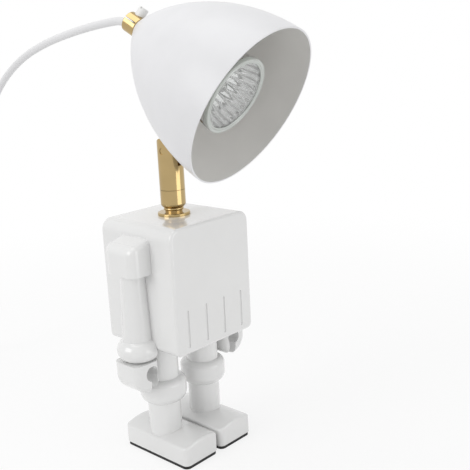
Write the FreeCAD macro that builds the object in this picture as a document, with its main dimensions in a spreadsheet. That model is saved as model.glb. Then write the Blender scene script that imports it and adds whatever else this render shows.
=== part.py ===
import FreeCAD, Part
import math
import os
import Sketcher

# A desk lamp shaped like a toy robot. Millimetres, +Z up, the robot faces -Y.
# The origin is on the desk, midway between the feet and below the middle of the torso.

os.makedirs("parts", exist_ok=True)
doc = FreeCAD.newDocument("RobotLamp")
sheet = doc.addObject("Spreadsheet::Sheet", "Sizes")
Vector = FreeCAD.Vector
Rotation = FreeCAD.Rotation
Placement = FreeCAD.Placement
X_AXIS = Vector(1, 0, 0)
Z_AXIS = Vector(0, 0, 1)
sub_parts = []
rows = []


class Size:
    """A length or an angle, as a number and as the sheet's expression for it."""

    def __init__(self, value, text):
        self.value = value
        self.text = text

    def __add__(self, other):
        other = as_size(other)
        return Size(self.value + other.value, f"({self.text} + {other.text})")

    def __sub__(self, other):
        other = as_size(other)
        return Size(self.value - other.value, f"({self.text} - {other.text})")

    def __mul__(self, other):
        other = as_size(other)
        return Size(self.value * other.value, f"({self.text} * {other.text})")

    def __truediv__(self, other):
        other = as_size(other)
        return Size(self.value / other.value, f"({self.text} / {other.text})")

    def __radd__(self, other):
        return as_size(other) + self

    def __rsub__(self, other):
        return as_size(other) - self

    def __rmul__(self, other):
        return as_size(other) * self

    def __neg__(self):
        return Size(-self.value, f"(0 - {self.text})")


def as_size(number):
    return number if isinstance(number, Size) else Size(float(number), repr(float(number)))


def root(size):
    return Size(math.sqrt(size.value), f"sqrt({size.text})")


def size(alias, value):
    """Writes one driving dimension into the sheet and hands it back."""
    rows.append(alias)
    sheet.set(f"A{len(rows)}", alias.replace("_", " "))
    sheet.set(f"B{len(rows)}", str(value))
    sheet.setAlias(f"B{len(rows)}", alias)
    return Size(float(value), f"Sizes.{alias}")


# Feet and rubber soles
sole_thickness = size("sole_thickness", 2.4)
sole_inset = size("sole_inset", 0.5)
foot_width = size("foot_width", 30.2)
foot_length = size("foot_length", 60)
foot_gap = size("foot_gap", 2.8)
foot_side = size("foot_side", 12.1)
foot_crown = size("foot_crown", 2.9)
foot_corner = size("foot_corner", 3.6)
foot_edge = size("foot_edge", 1.6)

# Legs
leg_radius = size("leg_radius", 11)
leg_spread = size("leg_spread", 38)
leg_setback = size("leg_setback", 1.5)
leg_seat = size("leg_seat", 5)
leg_length = size("leg_length", 62.3)
knee_radius = size("knee_radius", 15.6)
knee_drop = size("knee_drop", 41.7)
knee_underside = size("knee_underside", 6.4)
knee_band = size("knee_band", 7)
knee_topside = size("knee_topside", 3.4)
spigot_radius = size("spigot_radius", 5)
spigot_length = size("spigot_length", 6)

# Torso
torso_width = size("torso_width", 70)
torso_depth = size("torso_depth", 65)
torso_height = size("torso_height", 81.5)
torso_shoulder = size("torso_shoulder", 7.5)
torso_hip = size("torso_hip", 4)
torso_edge = size("torso_edge", 1.8)
rib_radius = size("rib_radius", 0.9)
rib_length = size("rib_length", 24.7)
rib_rise = size("rib_rise", 4.3)
rib_spacing = size("rib_spacing", 16.3)
rib_count = 4

# Arms and hands
pad_depth = size("pad_depth", 27)
pad_reach = size("pad_reach", 15.2)
pad_drop = size("pad_drop", 29.7)
pad_height = size("pad_height", 22.2)
pad_slope = size("pad_slope", 2.8)
pad_dome = size("pad_dome", 6)
pad_corner = size("pad_corner", 6)
pad_soft = size("pad_soft", 3)
arm_offset = size("arm_offset", 3.8)
arm_top_radius = size("arm_top_radius", 7.9)
arm_low_radius = size("arm_low_radius", 9.8)
cuff_radius = size("cuff_radius", 14)
cuff_roll = size("cuff_roll", 7.3)
cuff_rise = size("cuff_rise", 1.2)
hand_outside = size("hand_outside", 12.6)
hand_inside = size("hand_inside", 7.4)
hand_depth = size("hand_depth", 23)
hand_drop = size("hand_drop", 13.7)
hand_below = size("hand_below", 13.2)
hand_soft = size("hand_soft", 5)
grip_radius = size("grip_radius", 5)
grip_mouth = size("grip_mouth", 5.6)
grip_shift = size("grip_shift", 1.6)

# Neck: threaded insert, stud, flange, lower sleeve, turning tube
insert_radius = size("insert_radius", 7)
insert_depth = size("insert_depth", 20)
stud_radius = size("stud_radius", 4.9)
thread_gap = size("thread_gap", 0.1)
flange_radius = size("flange_radius", 10.6)
flange_height = size("flange_height", 1.9)
waist_radius = size("waist_radius", 5.6)
bead_radius = size("bead_radius", 6.9)
neck_base_gap = size("neck_base_gap", 5.2)
neck_radius = size("neck_radius", 8.15)
sleeve_height = size("sleeve_height", 11.3)
sleeve_round = size("sleeve_round", 2.2)
seam_gap = size("seam_gap", 0.25)
journal_radius = size("journal_radius", 5.4)
journal_height = size("journal_height", 8)
running_gap = size("running_gap", 0.05)
swivel_screw_radius = size("swivel_screw_radius", 1.5)
swivel_head_radius = size("swivel_head_radius", 2.5)
swivel_head_depth = size("swivel_head_depth", 2.4)
pivot_rise = size("pivot_rise", 17.3)
slot_width = size("slot_width", 5.2)
slot_depth = size("slot_depth", 9.6)
tilt_screw_radius = size("tilt_screw_radius", 2)
tilt_head_radius = size("tilt_head_radius", 3.4)
tilt_head_depth = size("tilt_head_depth", 2.2)

# Shade, as a bell turned about its own axis
shade_turn = 7.5
shade_pitch = 30.74
mouth_radius = size("mouth_radius", 52)
bell_radius = size("bell_radius", 121.3)
crown_radius = size("crown_radius", 6.25)
crown_thickness = size("crown_thickness", 1.2)
shade_wall = size("shade_wall", 1.0)
hang_depth = size("hang_depth", 38.4)
hang_reach = size("hang_reach", 10.25)
tongue_thickness = size("tongue_thickness", 5)
eye_radius = size("eye_radius", 6.4)
boss_radius = size("boss_radius", 6)
wall_stud_radius = size("wall_stud_radius", 2.9)

# Cord grip at the back of the shade
nipple_bore = size("nipple_bore", 3.9)
collar_radius = size("collar_radius", 6.6)
collar_length = size("collar_length", 10)
collar_mouth = size("collar_mouth", 4.8)
nipple_radius = size("nipple_radius", 4.9)
nipple_length = size("nipple_length", 11.9)
grip_nut_radius = size("grip_nut_radius", 7.6)
grip_nut_height = size("grip_nut_height", 3)
grip_spacer = size("grip_spacer", 2)
collar_slit = size("collar_slit", 1.0)
grip_screw_radius = size("grip_screw_radius", 3.3)
grip_screw_height = size("grip_screw_height", 5.2)
grip_screw_back = size("grip_screw_back", 4.6)
cord_drop_in_grip = size("cord_drop_in_grip", 2)

# Lamp and lampholder
lamp_depth = size("lamp_depth", 13.1)
lamp_radius = size("lamp_radius", 25)
lamp_rim = size("lamp_rim", 3.2)
lamp_length = size("lamp_length", 46)
lamp_neck_radius = size("lamp_neck_radius", 12)
lamp_base_length = size("lamp_base_length", 18)
lamp_base_step = size("lamp_base_step", 3)
lamp_glass = size("lamp_glass", 1.2)
lens_thickness = size("lens_thickness", 1.6)
lens_inset = size("lens_inset", 0.6)
burner_radius = size("burner_radius", 4.5)
burner_length = size("burner_length", 14)
pin_spacing = size("pin_spacing", 10)
pin_radius = size("pin_radius", 2.5)
pin_stem = size("pin_stem", 1.3)
pin_stem_length = size("pin_stem_length", 4)
pin_head_length = size("pin_head_length", 2)
holder_radius = size("holder_radius", 14.5)
holder_cap = size("holder_cap", 2.5)
holder_height = size("holder_height", 14)
holder_gap = size("holder_gap", 0.3)
bracket_plate = size("bracket_plate", 1.2)
bracket_width = size("bracket_width", 11)
bracket_leg = size("bracket_leg", 9)
bracket_foot = size("bracket_foot", 13.6)
bracket_screw_radius = size("bracket_screw_radius", 1.4)
bracket_screw_length = size("bracket_screw_length", 6)

# Cord, switch and plug
cord_radius = size("cord_radius", 2.6)
wire_radius = size("wire_radius", 0.9)
coil_radius = size("coil_radius", 21)
coil_spacing = size("coil_spacing", 5.8)
coil_lift = size("coil_lift", 5.65)
plug_length = size("plug_length", 33)
plug_width = size("plug_width", 34)
plug_neck = size("plug_neck", 14)
plug_relief = size("plug_relief", 25)
plug_pin_radius = size("plug_pin_radius", 2)
plug_pin_length = size("plug_pin_length", 19)
plug_pin_spacing = size("plug_pin_spacing", 19)

# Heights and places that follow from the sizes above
foot_top = sole_thickness + foot_side
torso_base = foot_top + foot_crown + leg_length
torso_top = torso_base + torso_height
torso_side = torso_width / 2
torso_front = torso_depth / 2
leg_middle = leg_spread / 2
arm_middle = torso_side + arm_offset
hand_level = torso_base - hand_drop
neck_base = torso_top + neck_base_gap
seam_level = neck_base + sleeve_height
journal_top = seam_level + journal_height
pivot_height = journal_top + pivot_rise
slot_floor = pivot_height - slot_depth
head_seat = slot_floor - swivel_head_depth - 0.6
hang_angle = math.degrees(math.asin(hang_depth.value / bell_radius.value))


def as_placement(x=0, y=0, z=0, rotation=Rotation()):
    return Placement(Vector(x, y, z), rotation)


NECK_PLACE = as_placement(rotation=Rotation(Z_AXIS, shade_turn))


def shade_place():
    """The shade's frame: origin at the middle of its mouth, +Z back along its axis, +Y to the neck."""
    turned = Rotation(Z_AXIS, shade_turn).multiply(Rotation(X_AXIS, shade_pitch - 90))
    centre_to_pivot = bell_radius.value + hang_reach.value
    angle = math.radians(hang_angle)
    pivot = Vector(
        0,
        mouth_radius.value - bell_radius.value + centre_to_pivot * math.cos(angle),
        centre_to_pivot * math.sin(angle),
    )
    return Placement(Vector(0, 0, pivot_height.value) - turned.multVec(pivot), turned)


SHADE_PLACE = shade_place()


def new_body(label, placement=None):
    body = doc.addObject("PartDesign::Body", label)
    body.Label = label
    if placement is not None:
        body.Placement = placement
    sub_parts.append(body)
    return body


def bind(thing, name, length):
    length = as_size(length)
    setattr(thing, name, length.value)
    thing.setExpression(name, length.text)


def bind_place(body, x, y, z=None):
    body.setExpression("Placement.Base.x", as_size(x).text)
    body.setExpression("Placement.Base.y", as_size(y).text)
    if z is not None:
        body.setExpression("Placement.Base.z", as_size(z).text)


def new_sketch(body, role, lift=0):
    """A sketch on one of the body's own planes, or lifted off it along the plane's normal."""
    lift = as_size(lift)
    sketch = body.newObject("Sketcher::SketchObject", f"{body.Name}_outline")
    plane = next(item for item in body.Origin.OriginFeatures if item.Role == role)
    sketch.AttachmentSupport = [(plane, "")]
    sketch.MapMode = "FlatFace"
    sketch.AttachmentOffset = as_placement(z=lift.value)
    if lift.value:
        sketch.setExpression("AttachmentOffset.Base.z", lift.text)
    return sketch


def pin_point(sketch, geometry, end, x, y):
    """Ties one end of a curve to a place measured from the sketch's origin."""
    for kind, length in (("DistanceX", as_size(x)), ("DistanceY", as_size(y))):
        index = sketch.addConstraint(
            Sketcher.Constraint(kind, -1, 1, geometry, end, length.value)
        )
        sketch.setExpression(f"Constraints[{index}]", length.text)


def arc_between(start, end, radius):
    """The short arc from start to end; a positive radius turns to the left on the way."""
    chord = end - start
    middle = start + chord * 0.5
    left = Vector(-chord.y, chord.x, 0).normalize()
    half = chord.Length / 2
    rise = math.sqrt(max(radius * radius - half * half, 0))
    centre = middle + left * (rise if radius > 0 else -rise)
    circle = Part.Circle(centre, Z_AXIS, abs(radius))
    first, last = (start, end) if radius > 0 else (end, start)
    return Part.ArcOfCircle(
        circle,
        math.atan2(first.y - centre.y, first.x - centre.x),
        math.atan2(last.y - centre.y, last.x - centre.x),
    )


def draw_outline(sketch, corners, side=1):
    """A closed outline. Each corner is (x, y) or (x, y, radius of the arc to the next corner)."""
    spots = [(as_size(c[0]) * side, as_size(c[1])) for c in corners]
    count = len(spots)
    ends = []
    for index, corner in enumerate(corners):
        start = Vector(spots[index][0].value, spots[index][1].value, 0)
        following = spots[(index + 1) % count]
        end = Vector(following[0].value, following[1].value, 0)
        if len(corner) == 3:
            radius = as_size(corner[2]) * side
            number = sketch.addGeometry(arc_between(start, end, radius.value), False)
            bend = sketch.addConstraint(
                Sketcher.Constraint("Radius", number, abs(radius.value))
            )
            length = radius if radius.value > 0 else -radius
            sketch.setExpression(f"Constraints[{bend}]", length.text)
            ends.append((number, 1, 2) if radius.value > 0 else (number, 2, 1))
        else:
            number = sketch.addGeometry(Part.LineSegment(start, end), False)
            ends.append((number, 1, 2))
    for index, (number, start_end, _) in enumerate(ends):
        before, _, before_end = ends[index - 1]
        sketch.addConstraint(
            Sketcher.Constraint("Coincident", before, before_end, number, start_end)
        )
        pin_point(sketch, number, start_end, *spots[index])


def draw_circle(sketch, x, y, radius):
    x, y, radius = as_size(x), as_size(y), as_size(radius)
    circle = Part.Circle(Vector(x.value, y.value, 0), Z_AXIS, radius.value)
    number = sketch.addGeometry(circle, False)
    pin_point(sketch, number, 3, x, y)
    index = sketch.addConstraint(Sketcher.Constraint("Radius", number, radius.value))
    sketch.setExpression(f"Constraints[{index}]", radius.text)


def add_feature(body, kind, sketch, both_ways=False, backwards=False):
    feature = body.newObject(f"PartDesign::{kind}", f"{body.Name}_{kind}")
    feature.Profile = sketch
    if both_ways:
        feature.SideType = "Symmetric"
    if backwards:
        feature.Reversed = True
    return feature


def pad(body, sketch, length, both_ways=False, backwards=False):
    feature = add_feature(body, "Pad", sketch, both_ways, backwards)
    bind(feature, "Length", length)
    return feature


def pocket(body, sketch, length, both_ways=False, backwards=False):
    feature = add_feature(body, "Pocket", sketch, both_ways, backwards)
    bind(feature, "Length", length)
    return feature


def revolve(body, sketch, kind="Revolution"):
    """Turns a sketch about its own upright axis."""
    feature = add_feature(body, kind, sketch)
    feature.ReferenceAxis = (sketch, ["V_Axis"])
    feature.Angle = 360
    return feature


def soften(body, radius, chosen):
    """Rounds the edges of the body so far that the test picks."""
    doc.recompute()
    base = body.Tip
    names = [
        f"Edge{number + 1}"
        for number, edge in enumerate(base.Shape.Edges)
        if chosen(edge)
    ]
    feature = body.newObject("PartDesign::Fillet", f"{body.Name}_Fillet")
    feature.Base = (base, names)
    bind(feature, "Radius", radius)
    return feature


def near(value, target, slack=0.01):
    return abs(value - target) < slack


def spans(edge, axis):
    """The lowest and highest coordinate of an edge along an axis, by the axis's letter."""
    box = edge.BoundBox
    return {
        "x": (box.XMin, box.XMax),
        "y": (box.YMin, box.YMax),
        "z": (box.ZMin, box.ZMax),
    }[axis]


def lies_at(edge, axis, place):
    low, high = spans(edge, axis)
    return near(low, place) and near(high, place)


def turned_piece(label, corners, placement=None):
    """A piece turned about the Z axis of its frame from one outline of (radius, height)."""
    body = new_body(label, placement)
    sketch = new_sketch(body, "XZ_Plane")
    draw_outline(sketch, corners)
    revolve(body, sketch)
    return body


def bored_cylinder(label, radius, bore, low, high, placement=None):
    return turned_piece(label, [(bore, low), (radius, low), (radius, high), (bore, high)], placement)


# The figure. Its right half is drawn, on -X, and the left one is its mirror image.

RIGHT = -1


def make_sole():
    body = new_body("sole_pad_right")
    sketch = new_sketch(body, "XY_Plane")
    inner = foot_gap / 2 + sole_inset
    outer = foot_gap / 2 + foot_width - sole_inset
    end = foot_length / 2 - sole_inset
    corners = [(inner, -end), (outer, -end), (outer, end), (inner, end)]
    draw_outline(sketch, corners, RIGHT)
    pad(body, sketch, sole_thickness)
    soften(body, foot_corner, lambda edge: near(edge.Length, sole_thickness.value))


def make_foot():
    """A crowned block with a round seat for the leg."""
    body = new_body("foot_right")
    sketch = new_sketch(body, "XZ_Plane")
    inner = foot_gap / 2
    outer = inner + foot_width
    half = foot_width / 2
    crown_arc = (half * half + foot_crown * foot_crown) / (foot_crown * 2)
    corners = [
        (inner, sole_thickness),
        (outer, sole_thickness),
        (outer, foot_top, crown_arc),
        (inner, foot_top),
    ]
    draw_outline(sketch, corners, RIGHT)
    pad(body, sketch, foot_length, both_ways=True)
    soften(body, foot_corner, lambda edge: near(edge.Length, foot_side.value))
    top = foot_top.value - 0.01
    soften(body, foot_edge, lambda edge: spans(edge, "z")[0] >= top)
    seat = new_sketch(body, "XY_Plane", foot_top + foot_crown - leg_seat)
    draw_circle(seat, leg_middle * RIGHT, leg_setback, leg_radius)
    pocket(body, seat, leg_seat + foot_crown, backwards=True)


def make_leg():
    """A round column with a knee ring and a spigot that goes up into the torso."""
    place = as_placement(RIGHT * leg_middle.value, leg_setback.value)
    foot = foot_top + foot_crown
    knee = torso_base - knee_drop
    bulge = knee_radius - leg_radius
    low_arc = (bulge * bulge + knee_underside * knee_underside) / (bulge * 2)
    high_arc = (bulge * bulge + knee_topside * knee_topside) / (knee_topside * 2)
    band = knee + knee_underside
    corners = [
        (0, foot - leg_seat),
        (leg_radius, foot - leg_seat),
        (leg_radius, knee, low_arc),
        (knee_radius, band),
        (knee_radius, band + knee_band, high_arc),
        (leg_radius, band + knee_band + knee_topside),
        (leg_radius, torso_base),
        (spigot_radius, torso_base),
        (spigot_radius, torso_base + spigot_length),
        (0, torso_base + spigot_length),
    ]
    body = turned_piece("leg_right", corners, place)
    bind_place(body, leg_middle * RIGHT, leg_setback)


def make_torso():
    """The box body with round shoulders, four upright ribs cut in its front, and the neck's seat."""
    body = new_body("torso", as_placement(z=torso_base.value))
    bind_place(body, 0, 0, torso_base)
    sketch = new_sketch(body, "XZ_Plane")
    side = torso_side
    top = torso_height
    shoulder, hip = torso_shoulder, torso_hip
    corners = [
        (hip - side, 0),
        (side - hip, 0, hip),
        (side, hip),
        (side, top - shoulder, shoulder),
        (side - shoulder, top),
        (shoulder - side, top, shoulder),
        (-side, top - shoulder),
        (-side, hip, hip),
    ]
    draw_outline(sketch, corners)
    pad(body, sketch, torso_depth, both_ways=True)
    front = torso_front.value
    soften(
        body,
        torso_edge,
        lambda edge: lies_at(edge, "y", front) or lies_at(edge, "y", -front),
    )
    rib = new_sketch(body, "XZ_Plane", torso_front)
    rib.AttachmentOffset = as_placement(
        -rib_spacing.value * (rib_count - 1) / 2, 0, torso_front.value
    )
    rib.setExpression(
        "AttachmentOffset.Base.x", (rib_spacing * ((1 - rib_count) / 2)).text
    )
    low = rib_rise
    high = low + rib_length
    draw_outline(
        rib,
        [
            (0, low, rib_radius),
            (rib_radius, low + rib_radius),
            (rib_radius, high - rib_radius, rib_radius),
            (0, high),
        ],
    )
    groove = revolve(body, rib, "Groove")
    pattern = body.newObject("PartDesign::LinearPattern", "torso_ribs")
    pattern.Originals = [groove]
    pattern.Direction = (rib, ["H_Axis"])
    bind(pattern, "Length", rib_spacing * (rib_count - 1))
    pattern.Occurrences = rib_count
    body.Tip = pattern
    seat = new_sketch(body, "XY_Plane", torso_height)
    draw_circle(seat, 0, 0, insert_radius)
    pocket(body, seat, insert_depth)
    sockets = new_sketch(body, "XY_Plane")
    for x in (leg_middle, -leg_middle):
        draw_circle(sockets, x, leg_setback, spigot_radius)
    pocket(body, sockets, spigot_length, backwards=True)


def make_arm():
    """Shoulder pad, tapering arm and rolled cuff, flat against the torso."""
    body = new_body("arm_right")
    pad_base = torso_top - pad_drop
    body.Placement = as_placement(RIGHT * arm_middle.value, 0, pad_base.value)
    bind_place(body, arm_middle * RIGHT, 0, pad_base)
    inner = -arm_offset
    outer = pad_reach - arm_offset
    half = pad_depth / 2
    lift = pad_height
    plan = new_sketch(body, "XY_Plane")
    draw_outline(
        plan,
        [
            (inner, -half),
            (outer - pad_corner, -half, pad_corner),
            (outer, pad_corner - half),
            (outer, half - pad_corner, pad_corner),
            (outer - pad_corner, half),
            (inner, half),
        ],
        RIGHT,
    )
    pad(body, plan, pad_height)
    over = new_sketch(body, "XZ_Plane")
    draw_outline(
        over,
        [
            (outer, lift - pad_slope - pad_dome, pad_dome),
            (outer - pad_dome, lift - pad_slope),
            (inner, lift),
            (inner, lift + pad_dome),
            (outer + pad_dome, lift + pad_dome),
            (outer + pad_dome, lift - pad_slope - pad_dome),
        ],
        RIGHT,
    )
    pocket(body, over, pad_depth * 2, both_ways=True)
    floor = (lift - pad_slope - pad_dome).value
    soften(
        body,
        pad_soft,
        lambda edge: spans(edge, "z")[0] > floor - 0.01
        and not lies_at(edge, "x", RIGHT * inner.value)
        and (
            lies_at(edge, "y", half.value)
            or lies_at(edge, "y", -half.value)
            or edge.Length < half.value
        ),
    )
    cuff_level = torso_base + cuff_rise - pad_base
    core = cuff_radius - cuff_roll
    join = arm_low_radius - core
    above = root(cuff_roll * cuff_roll - join * join)
    sketch = new_sketch(body, "XZ_Plane")
    draw_outline(
        sketch,
        [
            (0, cuff_level - cuff_roll),
            (core, cuff_level - cuff_roll, cuff_roll),
            (cuff_radius, cuff_level, cuff_roll),
            (arm_low_radius, cuff_level + above),
            (arm_top_radius, 1),
            (0, 1),
        ],
    )
    revolve(body, sketch)
    shave = new_sketch(body, "XY_Plane", cuff_level - cuff_roll)
    wide = cuff_radius * 2
    draw_outline(
        shave,
        [(inner - wide, -wide), (inner, -wide), (inner, wide), (inner - wide, wide)],
        RIGHT,
    )
    pocket(body, shave, torso_height, backwards=True)


def make_hand():
    """A claw: a soft block with a round grip through it, open at the bottom."""
    body = new_body("hand_right")
    body.Placement = as_placement(RIGHT * arm_middle.value, 0, hand_level.value)
    bind_place(body, arm_middle * RIGHT, 0, hand_level)
    top = hand_drop + cuff_rise - cuff_roll
    sketch = new_sketch(body, "XZ_Plane")
    bottom = -hand_below
    draw_outline(
        sketch,
        [
            (-hand_inside, top),
            (-hand_inside, bottom + hand_inside, hand_inside),
            (0, bottom, hand_outside),
            (hand_outside, bottom + hand_outside),
            (hand_outside, top),
        ],
        RIGHT,
    )
    pad(body, sketch, hand_depth, both_ways=True)
    half = hand_depth.value / 2
    top_level = top.value
    soften(
        body,
        hand_soft,
        lambda edge: (lies_at(edge, "y", half) or lies_at(edge, "y", -half))
        and not lies_at(edge, "z", top_level),
    )
    grip = new_sketch(body, "XZ_Plane")
    draw_circle(grip, 0, 0, grip_radius)
    pocket(body, grip, hand_depth * 2, both_ways=True)
    mouth = new_sketch(body, "XZ_Plane")
    left = -grip_shift - grip_mouth / 2
    right = grip_mouth / 2 - grip_shift
    draw_outline(
        mouth,
        [(left, bottom - 2), (right, bottom - 2), (right, -2), (left, -2)],
        RIGHT,
    )
    pocket(body, mouth, hand_depth * 2, both_ways=True)


# The neck


def make_neck():
    insert_base = torso_top - insert_depth
    bored_cylinder("threaded_insert", insert_radius, stud_radius + running_gap, insert_base, torso_top)
    stud_top = neck_base + sleeve_height * 0.7
    turned_piece(
        "threaded_rod",
        [(0, insert_base + 1), (stud_radius, insert_base + 1), (stud_radius, stud_top), (0, stud_top)],
    )
    bore = stud_radius + running_gap
    rim = flange_height * 0.4
    shoulder = torso_top + flange_height
    bead_half = (neck_base_gap - flange_height) * 0.33
    bulge = bead_radius - waist_radius
    bead_arc = (bead_half * bead_half + bulge * bulge) / (bulge * 2)
    bead_base = neck_base - bead_half * 2
    turned_piece(
        "neck_flange",
        [
            (bore, torso_top),
            (flange_radius, torso_top),
            (flange_radius, shoulder - rim, rim),
            (flange_radius - rim, shoulder),
            (waist_radius, shoulder),
            (waist_radius, bead_base, bead_arc),
            (waist_radius, neck_base),
            (bore, neck_base),
        ],
    )
    screw_hole = swivel_screw_radius + running_gap
    screw_tip = seam_level + 1
    turned_piece(
        "neck_sleeve",
        [
            (bore, neck_base),
            (neck_radius - sleeve_round, neck_base, sleeve_round),
            (neck_radius, neck_base + sleeve_round),
            (neck_radius, seam_level),
            (journal_radius, seam_level),
            (journal_radius, journal_top),
            (screw_hole, journal_top),
            (screw_hole, screw_tip),
            (0, screw_tip),
            (0, stud_top),
            (bore, stud_top),
        ],
    )
    head = head_seat + running_gap
    turned_piece(
        "swivel_screw",
        [
            (0, screw_tip + 0.5),
            (swivel_screw_radius, screw_tip + 0.5),
            (swivel_screw_radius, head),
            (swivel_head_radius, head),
            (swivel_head_radius, head + swivel_head_depth),
            (0, head + swivel_head_depth),
        ],
        NECK_PLACE,
    )
    slot = new_sketch(sub_parts[-1], "XY_Plane", head + swivel_head_depth)
    draw_outline(slot, [(-0.4, -4), (0.4, -4), (0.4, 4), (-0.4, 4)])
    pocket(sub_parts[-1], slot, 1)
    make_neck_tube()
    make_tilt_screw()


def make_neck_tube():
    """The turning upper tube: a deep bore below, a fork with round cheeks on top."""
    crown = pivot_height + neck_radius
    bore = journal_radius + running_gap
    body = turned_piece(
        "neck_tube",
        [
            (bore, seam_level + seam_gap),
            (neck_radius, seam_level + seam_gap),
            (neck_radius, crown),
            (swivel_head_radius + running_gap, crown),
            (swivel_head_radius + running_gap, head_seat),
            (swivel_screw_radius + running_gap, head_seat),
            (swivel_screw_radius + running_gap, journal_top + running_gap),
            (bore, journal_top + running_gap),
        ],
        NECK_PLACE,
    )
    dome = new_sketch(body, "YZ_Plane")
    reach = neck_radius
    wide = neck_radius * 2
    draw_outline(
        dome,
        [
            (reach, pivot_height, reach),
            (0, pivot_height + reach, reach),
            (-reach, pivot_height),
            (-wide, pivot_height),
            (-wide, crown + 2),
            (wide, crown + 2),
            (wide, pivot_height),
        ],
    )
    pocket(body, dome, wide * 2, both_ways=True)
    slot = new_sketch(body, "XZ_Plane")
    half = slot_width / 2
    draw_outline(
        slot,
        [(-half, slot_floor), (half, slot_floor), (half, crown + 2), (-half, crown + 2)],
    )
    pocket(body, slot, wide * 2, both_ways=True)
    hole = new_sketch(body, "YZ_Plane")
    draw_circle(hole, 0, pivot_height, tilt_screw_radius + running_gap)
    pocket(body, hole, wide * 2, both_ways=True)
    recess = new_sketch(body, "YZ_Plane", neck_radius - tilt_head_depth)
    draw_circle(recess, 0, pivot_height, tilt_head_radius + running_gap)
    pocket(body, recess, tilt_head_depth * 2, backwards=True)


def make_tilt_screw():
    """The screw through the fork, with its head let into one cheek."""
    body = new_body("tilt_screw", NECK_PLACE)
    inner = neck_radius - tilt_head_depth
    shank = new_sketch(body, "YZ_Plane", 0.6 - neck_radius)
    draw_circle(shank, 0, pivot_height, tilt_screw_radius)
    pad(body, shank, inner + neck_radius - 0.6)
    head = new_sketch(body, "YZ_Plane", inner)
    draw_circle(head, 0, pivot_height, tilt_head_radius)
    pad(body, head, tilt_head_depth * 0.8)
    slot = new_sketch(body, "YZ_Plane", inner + tilt_head_depth * 0.8)
    reach = tilt_head_radius * 1.2
    draw_outline(
        slot,
        [
            (-reach, pivot_height - 0.4),
            (reach, pivot_height - 0.4),
            (reach, pivot_height + 0.4),
            (-reach, pivot_height + 0.4),
        ],
    )
    pocket(body, slot, 0.8)


# The shade, its hanger and the cord grip

crown_centre = bell_radius - mouth_radius + crown_radius
crown_back = root(bell_radius * bell_radius - crown_centre * crown_centre)
crown_front = crown_back - crown_thickness
collar_end = crown_back + collar_length


def bell_at(height, radius):
    """The radius of the bell's arc at a height above the mouth, for the given arc radius."""
    return mouth_radius - bell_radius + root(radius * radius - height * height)


def hang_place():
    """The hanger's frame: origin at the tilt pivot, +Z straight at the shade's wall."""
    reach = bell_radius.value + hang_reach.value
    angle = math.radians(hang_angle)
    pivot = Vector(
        0,
        mouth_radius.value - bell_radius.value + reach * math.cos(angle),
        reach * math.sin(angle),
    )
    return Placement(pivot, Rotation(X_AXIS, 90 + hang_angle))


HANG_IN_SHADE = hang_place()
HANG_PLACE = SHADE_PLACE.multiply(HANG_IN_SHADE)


def make_shade():
    inner_arc = bell_radius - shade_wall
    bore = nipple_radius + running_gap
    body = turned_piece(
        "shade",
        [
            (mouth_radius, 0, bell_radius),
            (crown_radius, crown_back),
            (bore, crown_back),
            (bore, crown_front),
            (bell_at(crown_front, inner_arc), crown_front, -inner_arc),
            (mouth_radius - shade_wall, 0),
        ],
        SHADE_PLACE,
    )
    hole = new_sketch(body, "XY_Plane")
    hole.AttachmentOffset = HANG_IN_SHADE
    draw_circle(hole, 0, 0, wall_stud_radius + running_gap)
    pocket(body, hole, hang_reach + shade_wall * 4, backwards=True)


def wall_sagitta(radius):
    """How far a flat ring stands off the hollow wall inside the shade."""
    round_about = bell_radius.value - (bell_radius.value - mouth_radius.value) / math.cos(
        math.radians(hang_angle)
    )
    inside = round_about - shade_wall.value
    return inside - math.sqrt(inside * inside - radius * radius)


def make_hanger():
    """The tongue in the fork, with a boss against the shade and a stud through its wall."""
    body = new_body("tilt_arm", HANG_PLACE)
    eye = new_sketch(body, "YZ_Plane")
    draw_circle(eye, 0, 0, eye_radius)
    pad(body, eye, tongue_thickness, both_ways=True)
    web = new_sketch(body, "YZ_Plane")
    half = boss_radius * 0.9
    boss_base = neck_radius + 0.35
    draw_outline(web, [(-half, 0), (half, 0), (half, boss_base), (-half, boss_base)])
    pad(body, web, tongue_thickness, both_ways=True)
    boss = new_sketch(body, "XY_Plane", boss_base)
    draw_circle(boss, 0, 0, boss_radius)
    pad(body, boss, hang_reach - boss_base)
    washer_radius = 6.2
    washer_base = hang_reach.value + shade_wall.value + wall_sagitta(washer_radius) + 0.02
    washer = 1.0
    nut = 4.0
    stud = new_sketch(body, "XY_Plane", hang_reach)
    draw_circle(stud, 0, 0, wall_stud_radius)
    pad(body, stud, washer_base + washer + nut + 1 - hang_reach.value)
    pivot_hole = new_sketch(body, "YZ_Plane")
    draw_circle(pivot_hole, 0, 0, tilt_screw_radius + running_gap)
    pocket(body, pivot_hole, tongue_thickness * 2, both_ways=True)
    bore = wall_stud_radius + running_gap
    bored_cylinder("clamp_washer", washer_radius, bore, washer_base, washer_base + washer, HANG_PLACE)
    make_nut("clamp_nut", 5.8, bore, [washer_base + washer], nut, HANG_PLACE)


def make_nut(label, corner_radius, bore, bases, height, placement):
    """Hexagon nuts of one size on the Z axis of their frame."""
    body = new_body(label, placement)
    corner = as_size(corner_radius)
    for base in bases:
        sketch = new_sketch(body, "XY_Plane", base)
        draw_outline(
            sketch,
            [
                (corner * math.cos(math.radians(60 * turn)), corner * math.sin(math.radians(60 * turn)))
                for turn in range(6)
            ],
        )
        draw_circle(sketch, 0, 0, bore)
        pad(body, sketch, height)


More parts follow.
